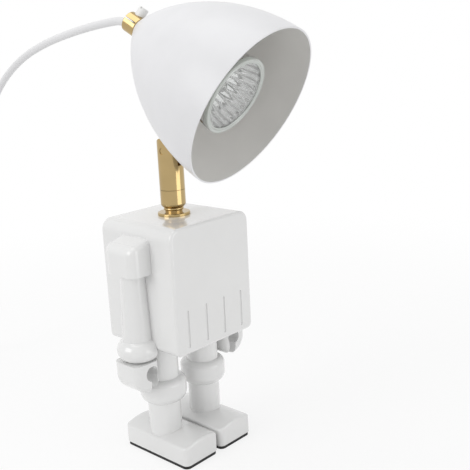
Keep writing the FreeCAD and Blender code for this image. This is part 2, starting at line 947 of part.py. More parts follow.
def make_cord_grip():
    bore_top = collar_mouth
    shank_end = crown_back - nipple_length
    body = turned_piece(
        "cord_grip",
        [
            (nipple_bore, shank_end),
            (nipple_radius, shank_end),
            (nipple_radius, crown_back),
            (collar_radius - 0.6, crown_back),
            (collar_radius, crown_back + 0.6),
            (collar_radius, collar_end - 0.5, 0.5),
            (collar_radius - 0.5, collar_end),
            (bore_top, collar_end),
            (nipple_bore, crown_back - 1),
        ],
        SHADE_PLACE,
    )
    slit = new_sketch(body, "XY_Plane", collar_end)
    slit.AttachmentOffset = as_placement(z=collar_end.value, rotation=Rotation(Z_AXIS, -148))
    half = collar_slit / 2
    draw_outline(slit, [(0, -half), (collar_radius * 2, -half), (collar_radius * 2, half), (0, half)])
    pocket(body, slit, collar_length - 1.2)
    screw_place = SHADE_PLACE.multiply(
        Placement(
            Vector(0, 0, (collar_end - grip_screw_back).value),
            Rotation(Z_AXIS, 22).multiply(Rotation(X_AXIS, 90)),
        )
    )
    hole = new_sketch(body, "XY_Plane", 0)
    hole.AttachmentOffset = Placement(
        Vector(0, 0, (collar_end - grip_screw_back).value),
        Rotation(Z_AXIS, 22).multiply(Rotation(X_AXIS, 90)),
    )
    draw_circle(hole, 0, 0, grip_screw_radius + running_gap)
    pocket(body, hole, collar_radius * 2, backwards=True)
    tip = 1.6
    head = collar_radius + grip_screw_height
    turned_piece(
        "cord_grip_screw",
        [
            (0, tip),
            (grip_screw_radius, tip),
            (grip_screw_radius, head - 0.4),
            (grip_screw_radius - 0.4, head),
            (0, head),
        ],
        screw_place,
    )
    slot = new_sketch(sub_parts[-1], "XY_Plane", head)
    reach = grip_screw_radius + 1
    draw_outline(slot, [(-reach, -0.5), (reach, -0.5), (reach, 0.5), (-reach, 0.5)])
    pocket(sub_parts[-1], slot, 1.3)
    bore = nipple_radius + running_gap
    nut_top = crown_front - grip_spacer
    bored_cylinder("cord_grip_spacer", 6, bore, nut_top, crown_front, SHADE_PLACE)
    lower_nut = nut_top - grip_nut_height - bracket_plate - grip_nut_height
    make_nut(
        "cord_grip_nuts",
        grip_nut_radius,
        bore,
        [nut_top - grip_nut_height, lower_nut],
        grip_nut_height,
        SHADE_PLACE,
    )


# The lampholder and the lamp

holder_front = lamp_depth + lamp_length + holder_gap
holder_back = holder_front + holder_height
bracket_top = crown_front - grip_spacer - grip_nut_height


def make_holder():
    bore = nipple_radius + running_gap
    body = new_body("holder_bracket", SHADE_PLACE)
    thick = bracket_plate
    leg = bracket_leg
    foot = bracket_foot
    outline = [(leg, bracket_top), (-leg, bracket_top), (-leg, holder_back + thick)]
    outline += [(-foot, holder_back + thick), (-foot, holder_back), (thick - leg, holder_back)]
    outline += [(thick - leg, bracket_top - thick), (leg - thick, bracket_top - thick)]
    outline += [(leg - thick, holder_back), (foot, holder_back)]
    outline += [(foot, holder_back + thick), (leg, holder_back + thick)]
    sketch = new_sketch(body, "XZ_Plane")
    draw_outline(sketch, outline)
    pad(body, sketch, bracket_width, both_ways=True)
    hole = new_sketch(body, "XY_Plane", bracket_top)
    draw_circle(hole, 0, 0, bore)
    pocket(body, hole, thick * 2)
    screws = new_sketch(body, "XY_Plane", holder_back + thick)
    middle = (foot + leg) / 2
    for x in (middle, -middle):
        draw_circle(screws, x, 0, bracket_screw_radius + running_gap)
    pocket(body, screws, thick * 2)
    body = turned_piece(
        "lamp_holder",
        [
            (0, holder_front),
            (holder_radius - 1, holder_front, 1),
            (holder_radius, holder_front + 1),
            (holder_radius, holder_back - holder_cap),
            (holder_radius - 1, holder_back),
            (0, holder_back),
        ],
        SHADE_PLACE,
    )
    slots = new_sketch(body, "XY_Plane", holder_front)
    for x in (pin_spacing / 2, -pin_spacing / 2):
        draw_circle(slots, x, 0, pin_radius + 0.3)
    pocket(body, slots, holder_height * 0.6, backwards=True)
    seats = new_sketch(body, "XY_Plane", holder_back)
    for x in (middle, -middle):
        draw_circle(seats, x, 0, bracket_screw_radius)
    pocket(body, seats, bracket_screw_length)
    body = new_body("bracket_screws", SHADE_PLACE)
    for x in (middle, -middle):
        shank = new_sketch(body, "XY_Plane", holder_back + thick - bracket_screw_length)
        draw_circle(shank, x, 0, bracket_screw_radius)
        pad(body, shank, bracket_screw_length)
        head = new_sketch(body, "XY_Plane", holder_back + thick)
        draw_circle(head, x, 0, bracket_screw_radius * 1.5)
        pad(body, head, 1.2)


def make_lamp():
    """A reflector lamp: lens, reflector shell, burner, base and two knobbed pins."""
    rim_back = lamp_depth + lamp_rim
    neck = lamp_depth + lamp_length - lamp_base_length
    glass = lamp_glass
    curve = lamp_radius * 1.28
    lens_front = lamp_depth + lens_inset
    lens_back = lens_front + lens_thickness
    turned_piece(
        "bulb_reflector",
        [
            (lamp_radius - glass, lamp_depth),
            (lamp_radius, lamp_depth),
            (lamp_radius, rim_back, curve),
            (lamp_neck_radius, neck),
            (lamp_neck_radius - glass, neck, -(curve - glass)),
            (lamp_radius - glass, rim_back),
        ],
        SHADE_PLACE,
    )
    turned_piece(
        "bulb_lens",
        [
            (0, lens_front),
            (lamp_radius - glass, lens_front),
            (lamp_radius - glass, lens_back),
            (0, lens_back),
        ],
        SHADE_PLACE,
    )
    tip = neck - burner_length
    turned_piece(
        "bulb_burner",
        [
            (0, tip),
            (burner_radius - 1, tip + 1),
            (burner_radius, tip + 2),
            (burner_radius, neck),
            (0, neck),
        ],
        SHADE_PLACE,
    )
    base_back = lamp_depth + lamp_length
    turned_piece(
        "bulb_base",
        [
            (0, neck),
            (lamp_neck_radius, neck),
            (lamp_neck_radius, neck + lamp_base_step),
            (lamp_neck_radius - 0.8, neck + lamp_base_step + 1),
            (lamp_neck_radius - 0.8, base_back - 1),
            (lamp_neck_radius - 1.8, base_back),
            (0, base_back),
        ],
        SHADE_PLACE,
    )
    body = new_body("bulb_pins", SHADE_PLACE)
    for x in (pin_spacing / 2, -pin_spacing / 2):
        stem = new_sketch(body, "XY_Plane", base_back)
        draw_circle(stem, x, 0, pin_stem)
        pad(body, stem, pin_stem_length)
        knob = new_sketch(body, "XY_Plane", base_back + pin_stem_length)
        draw_circle(knob, x, 0, pin_radius)
        pad(body, knob, pin_head_length)


# The cord: a free stretch, a coil put away on the desk, and the plug

QUARTER = math.pi / 2
COIL_QUARTERS_IN = 9
COIL_QUARTERS_OUT = 9


def solid_object(label, shape, placement=None):
    thing = doc.addObject("Part::Feature", label)
    thing.Label = label
    thing.Shape = shape
    if placement is not None:
        thing.Placement = placement
    sub_parts.append(thing)
    return thing


def round_corner(start, corner, end):
    """The arc that leaves start and reaches end along the lines to the corner."""
    into = (corner - start).normalize()
    out = (end - corner).normalize()
    weight = math.cos(into.getAngle(out) / 2)
    middle = (start + corner * (2 * weight) + end) * (0.5 / (1 + weight))
    return Part.Arc(start, middle, end).toShape()


def sweep_tube(edges, radius, label):
    """A round tube along touching edges; prints how its volume compares with its length."""
    path = Part.Wire(edges)
    first = edges[0]
    start = first.valueAt(first.FirstParameter)
    along = first.tangentAt(first.FirstParameter)
    ring = Part.Wire([Part.makeCircle(radius, start, along)])
    tube = path.makePipeShell([ring], True, False)
    solid = tube if tube.ShapeType == "Solid" else Part.Solid(tube)
    share = solid.Volume / (math.pi * radius * radius * path.Length)
    print(label, "length", round(path.Length, 1), "volume over section by length", round(share, 4))
    return solid


def tube_through(points, radius, label):
    """Straight runs joined by tangent arcs, one at each inner point."""
    edges = []
    last = points[0]
    least = None
    for before, corner, after in zip(points, points[1:], points[2:]):
        into = corner - before
        out = after - corner
        half_turn = into.getAngle(out) / 2
        reach = 0.45 * min(into.Length, out.Length)
        bend = reach / math.tan(half_turn)
        least = bend if least is None else min(least, bend)
        start = corner - into.normalize() * reach
        end = corner + out.normalize() * reach
        edges.append(Part.makeLine(last, start))
        edges.append(round_corner(start, corner, end))
        last = end
    edges.append(Part.makeLine(last, points[-1]))
    print(label, "least bend", round(least, 1), "wire radius", radius)
    return sweep_tube(edges, radius, label)


def coil_state(turned):
    """Place and direction on the coil's centre line after an angle, about the coil's own axis."""
    turn_back = COIL_QUARTERS_IN * QUARTER
    rate = coil_spacing.value / (2 * math.pi)
    distance = coil_radius.value + rate * abs(turned - turn_back)
    widening = rate if turned >= turn_back else -rate
    climb = min(max((turned - turn_back + QUARTER) / math.pi, 0), 1)
    climbing = coil_lift.value / math.pi if abs(turned - turn_back) < QUARTER - 0.001 else 0
    if abs(turned - turn_back) < 0.001:
        widening = 0
    height = cord_radius.value + coil_lift.value * climb
    outward = Vector(math.cos(turned), math.sin(turned), 0)
    around = Vector(-math.sin(turned), math.cos(turned), 0)
    direction = around * distance + outward * widening + Z_AXIS * climbing
    return outward * distance + Z_AXIS * height, direction.normalize()


def biarc(start, start_way, end, end_way):
    """Two arcs that leave start and reach end in the given directions."""
    chord = end - start
    ways = start_way + end_way
    apart = 2 * (1 - start_way.dot(end_way))
    dot = chord.dot(ways)
    reach = (math.sqrt(dot * dot + apart * chord.dot(chord)) - dot) / apart
    first_corner = start + start_way * reach
    second_corner = end - end_way * reach
    middle = (first_corner + second_corner) * 0.5
    return [round_corner(start, first_corner, middle), round_corner(middle, second_corner, end)]


def coil_edges():
    """The coil about the origin, with a straight end of one diameter on either side."""
    states = [
        coil_state(QUARTER * number)
        for number in range(COIL_QUARTERS_IN + COIL_QUARTERS_OUT + 1)
    ]
    straight = cord_radius.value * 2
    edges = [Part.makeLine(states[0][0] - states[0][1] * straight, states[0][0])]
    for (start, start_way), (end, end_way) in zip(states, states[1:]):
        edges += biarc(start, start_way, end, end_way)
    edges.append(Part.makeLine(states[-1][0], states[-1][0] + states[-1][1] * straight))
    return edges


def least_gap(edges, radius):
    """The smallest gap between stretches of the coil that lie a quarter turn or more apart."""
    points = []
    travelled = 0
    for edge in edges:
        for point in edge.discretize(Distance=2.0)[:-1]:
            points.append((travelled, point))
            travelled += 2.0
    gap = min(
        (a - b).Length
        for first, (at_a, a) in enumerate(points)
        for at_b, b in points[first + 1 :]
        if at_b - at_a > 30
    )
    return gap - 2 * radius


def make_cord():
    start = SHADE_PLACE.multVec(Vector(0, cord_drop_in_grip.value, collar_end.value))
    slope = cord_drop_in_grip.value / (collar_end.value - (crown_back - nipple_length).value + 2)
    way = SHADE_PLACE.Rotation.multVec(Vector(0, slope, 1)).normalize()
    radius = cord_radius.value
    floor = radius
    points = [start, start + way * 6]
    points += [Vector(*place) for place in CORD_ROUTE]
    points += [Vector(CORD_END[0], CORD_END[1] - back, floor) for back in (FLAT_RUN, 0)]
    solid_object("cord_drop", tube_through(points, radius, "cord_drop"))
    inner = start - way * (nipple_length.value + collar_length.value - 0.5)
    run = Part.makeCylinder(radius, (start - inner).Length, inner, way)
    solid_object("cord_inner_end", run)
    make_leads(inner, way)
    edges = coil_edges()
    print("cord_coil least gap", round(least_gap(edges, radius), 2))
    first = edges[0].valueAt(edges[0].FirstParameter)
    first_way = edges[0].tangentAt(edges[0].FirstParameter)
    turn = Rotation(Z_AXIS, 90 - math.degrees(math.atan2(first_way.y, first_way.x)))
    place = Placement(Vector(CORD_END[0], CORD_END[1], 0) - turn.multVec(Vector(first.x, first.y, 0)), turn)
    solid_object("cord_coil", sweep_tube(edges, radius, "cord_coil"), place)
    last = edges[-1]
    end = place.multVec(last.valueAt(last.LastParameter))
    end_way = turn.multVec(last.tangentAt(last.LastParameter))
    heading = math.degrees(math.atan2(end_way.y, end_way.x)) - 90
    make_plug(Placement(end, Rotation(Z_AXIS, heading)))


CORD_ROUTE = [
    (-4.1, 43.5, 283.3),
    (-3.9, 64, 281.5),
    (-3.6, 92, 277.5),
    (-3.4, 120, 272),
    (-3.6, 150, 262.6),
    (-3.4, 180, 246),
    (-3.6, 204, 222),
    (-4.2, 219, 190),
    (-4.8, 226, 155),
    (-5.2, 229, 118),
    (-5, 231.5, 82),
    (-4.4, 237, 50),
    (-4.1, 250, 22),
    (-3.9, 270, 5.6),
]
CORD_END = (-4, 303)
FLAT_RUN = 13


def make_leads(inner, way):
    """Two thin wires from the cord's cut end to the lampholder's back."""
    wires = []
    local_start = SHADE_PLACE.inverse().multVec(inner)
    radius = wire_radius.value
    top = local_start.z - 0.1
    low = holder_back.value
    for side in (1, -1):
        points = [
            Vector(side * 1.2, local_start.y, top),
            Vector(side * 1.3, local_start.y, top - (top - low) * 0.3),
            Vector(side * 4, local_start.y, top - (top - low) * 0.6),
            Vector(side * 4.2, local_start.y, low + 0.15),
        ]
        wires.append(tube_through(points, radius, "holder_leads"))
    solid_object("holder_leads", Part.makeCompound(wires), SHADE_PLACE)


def make_plug(place):
    """A flat two-pin plug that lies on the desk, cord end at the origin of its frame."""
    body = new_body("plug_body", place)
    half_height = cord_radius + coil_lift
    relief = new_sketch(body, "XZ_Plane")
    draw_circle(relief, 0, 0, cord_radius * 1.3)
    pad(body, relief, plug_relief + 1, backwards=True)
    outline = new_sketch(body, "XY_Plane")
    half = plug_width / 2
    neck = plug_neck / 2
    tip = plug_relief + plug_length
    draw_outline(
        outline,
        [
            (-neck, plug_relief),
            (neck, plug_relief),
            (half, plug_relief + plug_length * 0.55),
            (half, tip - 4),
            (half - 3, tip),
            (3 - half, tip),
            (-half, tip - 4),
            (-half, plug_relief + plug_length * 0.55),
        ],
    )
    pad(body, outline, half_height * 2, both_ways=True)
    pins = new_body("plug_pins", place)
    for x in (plug_pin_spacing / 2, -plug_pin_spacing / 2):
        sketch = new_sketch(pins, "XZ_Plane", -tip)
        draw_circle(sketch, x, 0, plug_pin_radius)
        pad(pins, sketch, plug_pin_length, backwards=True)


def mirror_piece(source, label):
    """The left-hand twin of a right-hand piece."""
    twin = doc.addObject("Part::Mirroring", label)
    twin.Label = label
    twin.Source = source
    twin.Normal = (1, 0, 0)
    sub_parts.append(twin)


def make_figure():
    make_torso()
    doc.recompute()
    for make in (make_sole, make_foot, make_leg, make_arm, make_hand):
        make()
        doc.recompute()
        piece = sub_parts[-1]
        mirror_piece(piece, piece.Label.replace("right", "left"))


make_figure()
make_neck()
make_shade()
make_hanger()
make_cord_grip()
make_holder()
make_lamp()
make_cord()
doc.recompute()

for thing in doc.Objects:
    if "Invalid" in thing.State or "Error" in thing.State:
        raise RuntimeError(f"{thing.Name} failed")
for part in sub_parts:
    if part.Shape.isNull() or not part.Shape.isValid() or not part.Shape.Solids:
        raise RuntimeError(f"{part.Label} has no sound solid")
    part.Shape.exportStep(f"parts/{part.Label}.step")
    print(part.Label, len(part.Shape.Solids), round(part.Shape.Volume, 1))
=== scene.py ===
import math
import bpy
from mathutils import Matrix, Vector


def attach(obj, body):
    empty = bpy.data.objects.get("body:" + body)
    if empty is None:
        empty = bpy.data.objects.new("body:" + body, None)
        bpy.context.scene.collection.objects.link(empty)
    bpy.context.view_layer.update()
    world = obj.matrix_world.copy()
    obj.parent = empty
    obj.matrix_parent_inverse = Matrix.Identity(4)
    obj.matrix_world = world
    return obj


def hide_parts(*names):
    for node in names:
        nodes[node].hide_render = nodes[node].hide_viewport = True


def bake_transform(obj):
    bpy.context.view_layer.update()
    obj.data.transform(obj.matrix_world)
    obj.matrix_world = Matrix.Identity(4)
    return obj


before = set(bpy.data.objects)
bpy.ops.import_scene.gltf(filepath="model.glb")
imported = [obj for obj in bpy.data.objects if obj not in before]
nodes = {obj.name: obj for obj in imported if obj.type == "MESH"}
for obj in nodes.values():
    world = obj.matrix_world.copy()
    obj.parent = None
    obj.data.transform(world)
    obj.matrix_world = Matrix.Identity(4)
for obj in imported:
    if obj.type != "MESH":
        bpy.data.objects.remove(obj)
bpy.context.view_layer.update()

# A robot shaped desk lamp: glossy white figure, brass neck, white bell shade, white cord.
# Metres, +Z up, the robot faces -Y.

scene = bpy.context.scene
scene.view_settings.view_transform = "Standard"

# Camera, fitted to the photograph
CAMERA_PLACE = (-0.34034, -0.36294, 0.27037)
CAMERA_RIGHT = Vector((0.68082, -0.73065, -0.05124))
CAMERA_LOOK = Vector((0.69830, 0.66860, -0.25563))
camera_data = bpy.data.cameras.new("camera")
camera = bpy.data.objects.new("camera", camera_data)
scene.collection.objects.link(camera)
camera_data.sensor_width = 36
camera_data.lens = 60.0
camera_data.shift_x = 0.038
camera_data.shift_y = 0.0207
camera_data.clip_start = 0.01
look = CAMERA_LOOK.normalized()
right = (CAMERA_RIGHT - look * CAMERA_RIGHT.dot(look)).normalized()
up = right.cross(look)
turn = Matrix((right, up, -look)).transposed()
camera.matrix_world = Matrix.Translation(CAMERA_PLACE) @ turn.to_4x4()
scene.camera = camera


# Cord: the route from the grip at the back of the shade to the plug

CORD_RADIUS = 0.0026
COIL_RADIUS = 0.021
COIL_SPACING = 0.0058
COIL_LIFT = 0.00565
COIL_TURNS_IN = 2.25
COIL_TURNS_OUT = 2.25
COIL_STEPS = 12
CORD_ROUTE = [
    (-0.00359, 0.02678, 0.28140),
    (-0.00430, 0.03224, 0.28382),
    (-0.0041, 0.0435, 0.2833),
    (-0.0039, 0.064, 0.2815),
    (-0.0036, 0.092, 0.2775),
    (-0.0034, 0.120, 0.272),
    (-0.0036, 0.150, 0.2626),
    (-0.0034, 0.180, 0.246),
    (-0.0036, 0.204, 0.222),
    (-0.0042, 0.219, 0.190),
    (-0.0048, 0.226, 0.155),
    (-0.0052, 0.229, 0.118),
    (-0.005, 0.2315, 0.082),
    (-0.0044, 0.237, 0.050),
    (-0.0041, 0.250, 0.022),
    (-0.0039, 0.270, 0.0056),
    (-0.004, 0.290, 0.0026),
]
CORD_END = (-0.004, 0.303)
SPLIT_AT = 0.195


def coil_points():
    """The coil on the desk: in for two turns and a quarter, a half turn up, and out again."""
    last_turn = COIL_TURNS_IN + COIL_TURNS_OUT
    rate = COIL_SPACING / (2 * math.pi)
    outer = COIL_RADIUS + COIL_SPACING * COIL_TURNS_IN
    lean = math.atan2(rate, outer)
    spread = 0.75 + 0.25 * math.cos(2 * math.pi / COIL_STEPS)
    start = Vector((CORD_END[0], CORD_END[1] + CORD_RADIUS * 2))
    centre = start - Vector((math.cos(-lean), math.sin(-lean))) * outer
    points = []
    for step in range(int(last_turn * COIL_STEPS) + 1):
        turns = step / COIL_STEPS
        distance = COIL_RADIUS + COIL_SPACING * abs(turns - COIL_TURNS_IN)
        climb = min(max((turns - COIL_TURNS_IN + 0.25) * 2, 0), 1)
        angle = 2 * math.pi * turns - lean
        place = centre + Vector((math.cos(angle), math.sin(angle))) * distance / spread
        points.append((place.x, place.y, CORD_RADIUS + COIL_LIFT * climb))
    angle = 2 * math.pi * last_turn - lean
    outward = Vector((math.cos(angle), math.sin(angle)))
    onward = Vector((-math.sin(angle), math.cos(angle)))
    leave = outward * outer + centre
    way = onward * outer + outward * rate
    tip = leave + way.normalized() * CORD_RADIUS * 2
    points.append((tip.x, tip.y, CORD_RADIUS + COIL_LIFT))
    return points


def smooth_line(points):
    """Points along one NURBS spline through the control points."""
    curve = bpy.data.curves.new("route", "CURVE")
    curve.dimensions = "3D"
    curve.resolution_u = 10
    spline = curve.splines.new("NURBS")
    spline.points.add(len(points) - 1)
    for control, point in zip(spline.points, points):
        control.co = (*point, 1)
    spline.order_u = 3
    spline.use_endpoint_u = True
    holder = bpy.data.objects.new("route", curve)
    scene.collection.objects.link(holder)
    line = bpy.data.meshes.new_from_object(holder)
    places = [vertex.co.copy() for vertex in line.vertices]
    bpy.data.objects.remove(holder)
    bpy.data.curves.remove(curve)
    bpy.data.meshes.remove(line)
    return places


SHARP_ANGLE = math.radians(50)


def new_mesh_object(name, vertices, faces):
    """A smooth-shaded mesh whose edges stay sharp where they turn by more than SHARP_ANGLE."""
    mesh = bpy.data.meshes.new(name)
    mesh.from_pydata([tuple(v) for v in vertices], [], faces)
    mesh.update()
    for face in mesh.polygons:
        face.use_smooth = True
    mesh.set_sharp_from_angle(angle=SHARP_ANGLE)
    thing = bpy.data.objects.new(name, mesh)
    scene.collection.objects.link(thing)
    return thing


def tube(name, line, radius, sides=32):
    """A closed round tube that follows a line of points without twisting."""
    vertices = []
    faces = []
    normal = None
    for index, place in enumerate(line):
        before = line[max(index - 1, 0)]
        after = line[min(index + 1, len(line) - 1)]
        along = (after - before).normalized()
        if normal is None:
            normal = along.orthogonal().normalized()
        normal = (normal - along * normal.dot(along)).normalized()
        across = along.cross(normal)
        for side in range(sides):
            angle = 2 * math.pi * side / sides
            vertices.append(place + (normal * math.cos(angle) + across * math.sin(angle)) * radius)
    for ring in range(len(line) - 1):
        for side in range(sides):
            other = (side + 1) % sides
            low = ring * sides
            high = low + sides
            faces.append((low + side, low + other, high + other, high + side))
    faces.append(tuple(reversed(range(sides))))
    faces.append(tuple(range((len(line) - 1) * sides, len(line) * sides)))
    return new_mesh_object(name, vertices, faces)


whole_line = smooth_line(CORD_ROUTE + [(*CORD_END, CORD_RADIUS)] + coil_points())
split = next(index for index, place in enumerate(whole_line) if place.y > SPLIT_AT)
head_line = whole_line[: split + 1]
desk_line = whole_line[split:]


head_cord = tube("cord_at_head", head_line, CORD_RADIUS)
desk_cord = tube("cord_to_plug", desk_line, CORD_RADIUS)
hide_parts("cord_drop")
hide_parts("cord_drop", "cord_coil")
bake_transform(head_cord)
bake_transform(desk_cord)


# Materials

COAT_ROUGHNESS = 0.08
WIDE_SPOTS = 18
GRAIN_HEIGHT = 0.0002


def node_material(name, colour, roughness, metallic=0.0, grain=900.0, bump=0.02, shift=0.03, coat=0.0):
    """A surface whose tone and polish vary slightly over the piece, with a fine bump."""
    material = bpy.data.materials.new(name)
    material.use_nodes = True
    tree = material.node_tree
    shader = tree.nodes["Principled BSDF"]
    shader.inputs["Metallic"].default_value = metallic
    shader.inputs["Coat Weight"].default_value = coat
    shader.inputs["Coat Roughness"].default_value = COAT_ROUGHNESS
    place = tree.nodes.new("ShaderNodeTexCoord")
    wide = tree.nodes.new("ShaderNodeTexNoise")
    wide.inputs["Scale"].default_value = grain / WIDE_SPOTS
    wide.inputs["Detail"].default_value = 3
    fine = tree.nodes.new("ShaderNodeTexNoise")
    fine.inputs["Scale"].default_value = grain
    fine.inputs["Detail"].default_value = 4
    tree.links.new(place.outputs["Object"], wide.inputs["Vector"])
    tree.links.new(place.outputs["Object"], fine.inputs["Vector"])
    tone = tree.nodes.new("ShaderNodeValToRGB")
    tone.color_ramp.elements[0].position = 0.3
    tone.color_ramp.elements[1].position = 0.7
    tone.color_ramp.elements[0].color = (*[c * (1 - shift) for c in colour], 1)
    tone.color_ramp.elements[1].color = (*colour, 1)
    tree.links.new(wide.outputs["Fac"], tone.inputs["Fac"])
    tree.links.new(tone.outputs["Color"], shader.inputs["Base Color"])
    polish = tree.nodes.new("ShaderNodeMapRange")
    polish.inputs["To Min"].default_value = roughness * 0.85
    polish.inputs["To Max"].default_value = roughness * 1.2
    tree.links.new(wide.outputs["Fac"], polish.inputs["Value"])
    tree.links.new(polish.outputs["Result"], shader.inputs["Roughness"])
    relief = tree.nodes.new("ShaderNodeBump")
    relief.inputs["Strength"].default_value = bump
    relief.inputs["Distance"].default_value = GRAIN_HEIGHT
    tree.links.new(fine.outputs["Fac"], relief.inputs["Height"])
    tree.links.new(relief.outputs["Normal"], shader.inputs["Normal"])
    return material


def glass_material(name):
    """Clear glass."""
    material = node_material(name, (0.97, 0.985, 0.98), 0.02, grain=400, bump=0.0, shift=0.01)
    shader = material.node_tree.nodes["Principled BSDF"]
    shader.inputs["Transmission Weight"].default_value = 1.0
    shader.inputs["IOR"].default_value = 1.47
    return material


figure_white = node_material(
    "figure_white", (0.80, 0.80, 0.795), 0.2, grain=500, bump=0.008, coat=0.7
)
sole_black = node_material(
    "sole_black", (0.012, 0.012, 0.012), 0.7, grain=1500, bump=0.2, shift=0.3
)
brass = node_material(
    "brass", (0.48, 0.355, 0.17), 0.14, metallic=1.0, grain=1200, bump=0.01, shift=0.08
)
shade_white = node_material("shade_white", (0.79, 0.79, 0.805), 0.38, grain=1200, bump=0.03)
steel = node_material("steel", (0.55, 0.55, 0.57), 0.3, metallic=1.0, grain=1500, bump=0.05)
nylon = node_material("nylon", (0.85, 0.85, 0.84), 0.3, grain=800, bump=0.02)
ceramic = node_material("ceramic", (0.75, 0.74, 0.70), 0.55, grain=700, bump=0.1)
mirror_shell = node_material(
    "mirror_shell", (0.72, 0.715, 0.71), 0.05, metallic=1.0, grain=260, bump=0.0
)
front_glass = glass_material("front_glass")
rim_glass = node_material("rim_glass", (0.52, 0.55, 0.52), 0.06, grain=300, bump=0.0, coat=1.0)
cord_white = node_material("cord_white", (0.78, 0.78, 0.79), 0.4, grain=300, bump=0.0)
plug_white = node_material("plug_white", (0.80, 0.80, 0.80), 0.4, grain=1100, bump=0.08)
nickel = node_material("nickel", (0.72, 0.70, 0.66), 0.2, metallic=1.0, grain=1200, bump=0.03)

SURFACES = {
    "torso": figure_white,
    "foot": figure_white,
    "leg": figure_white,
    "arm": figure_white,
    "hand": figure_white,
    "sole_pad": sole_black,
    "threaded_insert": brass,
    "threaded_rod": steel,
    "neck": brass,
    "swivel_screw": steel,
    "tilt": brass,
    "shade": shade_white,
    "clamp": steel,
    "cord_grip": brass,
    "cord_grip_screw": nylon,
    "holder_bracket": steel,
    "bracket_screws": steel,
    "lamp_holder": ceramic,
    "holder_leads": cord_white,
    "bulb_reflector": mirror_shell,
    "bulb_lens": front_glass,
    "bulb_burner": front_glass,
    "bulb_base": ceramic,
    "bulb_pins": nickel,
    "cord": cord_white,
    "plug_body": plug_white,
    "plug_pins": nickel,
}


def paint(thing, material):
    thing.data.materials.clear()
    thing.data.materials.append(material)


for node_name, node in nodes.items():
    keys = [key for key in SURFACES if node_name.startswith(key)]
    paint(node, SURFACES[max(keys, key=len)])
for cord_piece in (head_cord, desk_cord):
    paint(cord_piece, cord_white)


# Shade and lamp

SHADE_TURN = 7.5
SHADE_PITCH = 30.74
MOUTH_RADIUS = 0.052
BELL_RADIUS = 0.1213
HANG_DEPTH = 0.0384
HANG_REACH = 0.01025
PIVOT = Vector((0, 0, 0.203))


def shade_frame():
    """Origin at the middle of the shade's mouth, +Z back along its axis, +Y towards the neck."""
    yaw = Matrix.Rotation(math.radians(SHADE_TURN), 3, "Z")
    rotation = yaw @ Matrix.Rotation(math.radians(SHADE_PITCH - 90), 3, "X")
    angle = math.asin(HANG_DEPTH / BELL_RADIUS)
    reach = BELL_RADIUS + HANG_REACH
    pivot = Vector((0, MOUTH_RADIUS - BELL_RADIUS + reach * math.cos(angle), reach * math.sin(angle)))
    return Matrix.Translation(PIVOT - rotation @ pivot) @ rotation.to_4x4()


SHADE_FRAME = shade_frame()


def turned(name, profile, sides, closed=False, waves=None):
    """A piece turned about the shade's axis from (radius, height, ripple depth) points."""
    vertices = []
    for radius, height, *ripple in profile:
        for side in range(sides):
            angle = 2 * math.pi * side / sides
            depth = ripple[0] if ripple else 0
            out = radius - depth * abs(math.sin(angle * waves / 2)) if waves else radius
            vertices.append(SHADE_FRAME @ Vector((out * math.cos(angle), out * math.sin(angle), height)))
    faces = []
    rings = len(profile)
    for ring in range(rings if closed else rings - 1):
        low = ring * sides
        high = ((ring + 1) % rings) * sides
        for side in range(sides):
            other = (side + 1) % sides
            faces.append((low + side, low + other, high + other, high + side))
    if not closed:
        faces.append(tuple(reversed(range(sides))))
        faces.append(tuple(range((rings - 1) * sides, rings * sides)))
    return new_mesh_object(name, vertices, faces)


# Reflector lamp, measured from the shade's mouth
LAMP_RADIUS = 0.025
LAMP_FRONT = 0.0131
RIM_BACK = 0.0163
LAMP_NECK = 0.0411
NECK_RADIUS = 0.012
GLASS = 0.0011
FLUTES = 30
FLUTE_DEPTH = 0.0007
BOWL_BULGE = 0.0029
BOWL_STEPS = 20
BOWL_BULGE_OUT = 0.88
BOWL_BULGE_BACK = 0.45
FILAMENT_TURNS = 14
FILAMENT_STEPS = 8
FILAMENT_LENGTH = 0.0048
FILAMENT_LOOP = 0.00045
FILAMENT_WIRE = 0.00009
FILAMENT_DEPTH = 0.0128


def bowl_point(share, inset):
    """A point of the bowl's arc from its rim (0) to its neck (1), moved in from the outside."""
    radius = LAMP_RADIUS + (NECK_RADIUS - LAMP_RADIUS) * share
    height = RIM_BACK + (LAMP_NECK - RIM_BACK) * share
    bulge = BOWL_BULGE * 4 * share * (1 - share)
    return radius + bulge * BOWL_BULGE_OUT - inset, height + bulge * BOWL_BULGE_BACK


def dress_lamp_piece(name, profile, sides, node, material, closed=False, waves=None):
    """A turned piece of the lamp that stands for one CAD node."""
    piece = turned(name, profile, sides, closed, waves)
    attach(piece, "head")
    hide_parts(node)
    piece.data.materials.append(material)


def make_bowl():
    """The lamp's mirror bowl, smooth outside and fluted inside."""
    steps = [step / BOWL_STEPS for step in range(BOWL_STEPS + 1)]
    outside = [(LAMP_RADIUS, RIM_BACK - 0.0004)] + [bowl_point(share, 0) for share in steps]
    inside = []
    for share in reversed(steps):
        radius, height = bowl_point(share, GLASS)
        ripple = FLUTE_DEPTH * min(1, (1 - share) * 6, share * 8)
        inside.append((radius, height, ripple))
    inside[0] = (NECK_RADIUS - GLASS, LAMP_NECK)
    inside.append((LAMP_RADIUS - GLASS, RIM_BACK - 0.0004))
    dress_lamp_piece(
        "lamp_bowl", outside + inside, FLUTES * 8, "bulb_reflector", mirror_shell, True, FLUTES
    )


